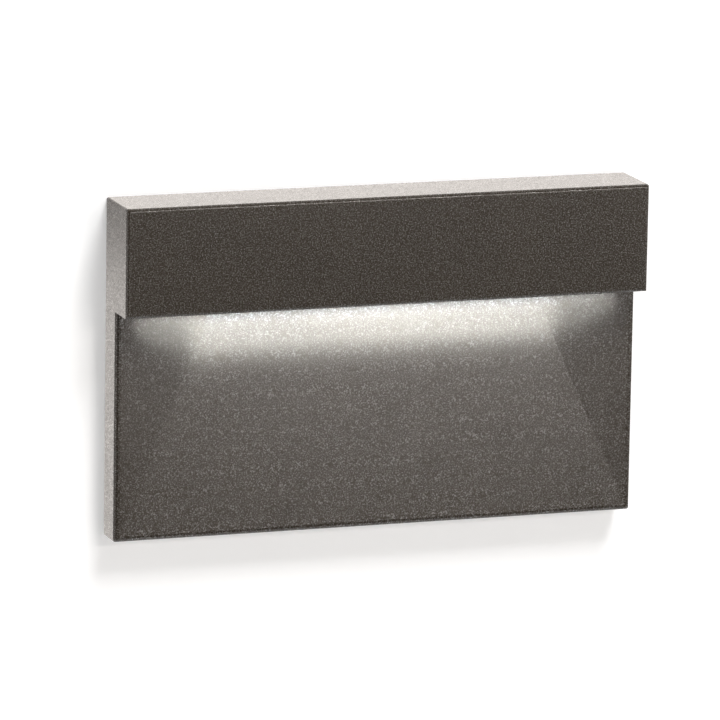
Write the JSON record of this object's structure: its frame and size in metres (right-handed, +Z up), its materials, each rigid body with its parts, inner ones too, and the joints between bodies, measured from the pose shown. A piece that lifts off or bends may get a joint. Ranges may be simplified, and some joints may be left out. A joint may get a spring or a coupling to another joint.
{
  "type": "step light",
  "caption": "Horizontal surface step light for a wall box: a hood over a faceted scoop plate throws hidden LED light down the face.",
  "frame": {"origin": "on the wall surface, midway between the two wall-box screws, which is the middle of the face", "axes": "+X to the right along the face, +Y into the wall, +Z up"},
  "size_m": [0.127, 0.0503, 0.0794],
  "materials": {
    "bronze_coat": "bronze textured powder coat",
    "black_foam": "closed-cell foam",
    "clear_silicone": "translucent silicone",
    "frosted_lens": "frosted, lit from behind",
    "bare_aluminium": "mill-finish extrusion",
    "zinc_screw": "zinc plated",
    "white_board": "white solder mask on aluminium",
    "grey_pad": "thermal interface pad",
    "led_white": "white LED package",
    "led_phosphor": "phosphor resin",
    "cream_nylon": "nylon",
    "red_insulation": "wire insulation",
    "black_insulation": "wire insulation",
    "black_moulding": "fine-grained moulding",
    "green_board": "green solder mask",
    "black_component": "moulded component body",
    "blue_component": "epoxy dip",
    "yellow_component": "boxed capacitor",
    "ferrite": "ferrite",
    "yellow_tape": "polyester tape",
    "resistor_body": "lacquered resistor",
    "green_terminal": "terminal block",
    "black_rubber": "moulded rubber",
    "zinc_plate": "zinc-plated steel",
    "green_screw": "green dyed screw",
    "black_screw": "black oxide"
  },
  "bodies": {
    "root": {"face_casting": "bronze_coat", "wall_gasket": "black_foam", "lens_seal": "clear_silicone", "window_lens": "frosted_lens", "led_carrier": "bare_aluminium", "carrier_screws": "zinc_screw", "led_board": "white_board", "thermal_pad": "grey_pad", "led_packages": "led_white", "led_phosphors": "led_phosphor", "led_connector": "cream_nylon", "led_lead_positive": "red_insulation", "led_lead_negative": "black_insulation", "housing_gasket": "black_foam", "rear_housing": "black_moulding", "housing_screws": "zinc_screw", "driver_board": "green_board", "fuse": "black_component", "varistor": "blue_component", "film_capacitor": "yellow_component", "bulk_capacitor": "black_component", "filter_choke": "ferrite", "transformer_core": "ferrite", "transformer_bobbin": "black_component", "transformer_winding": "yellow_tape", "bridge_rectifier": "black_component", "controller_chip": "black_component", "power_resistors": "resistor_body", "output_terminal": "green_terminal", "input_terminal": "green_terminal", "lid_gasket": "black_foam", "driver_lid": "black_moulding", "lid_screws": "zinc_screw", "supply_grommet": "black_rubber", "mounting_bracket": "zinc_plate", "box_screws": "zinc_screw", "ground_screw": "green_screw", "set_screws": "black_screw"}
  },
  "joints": []
}
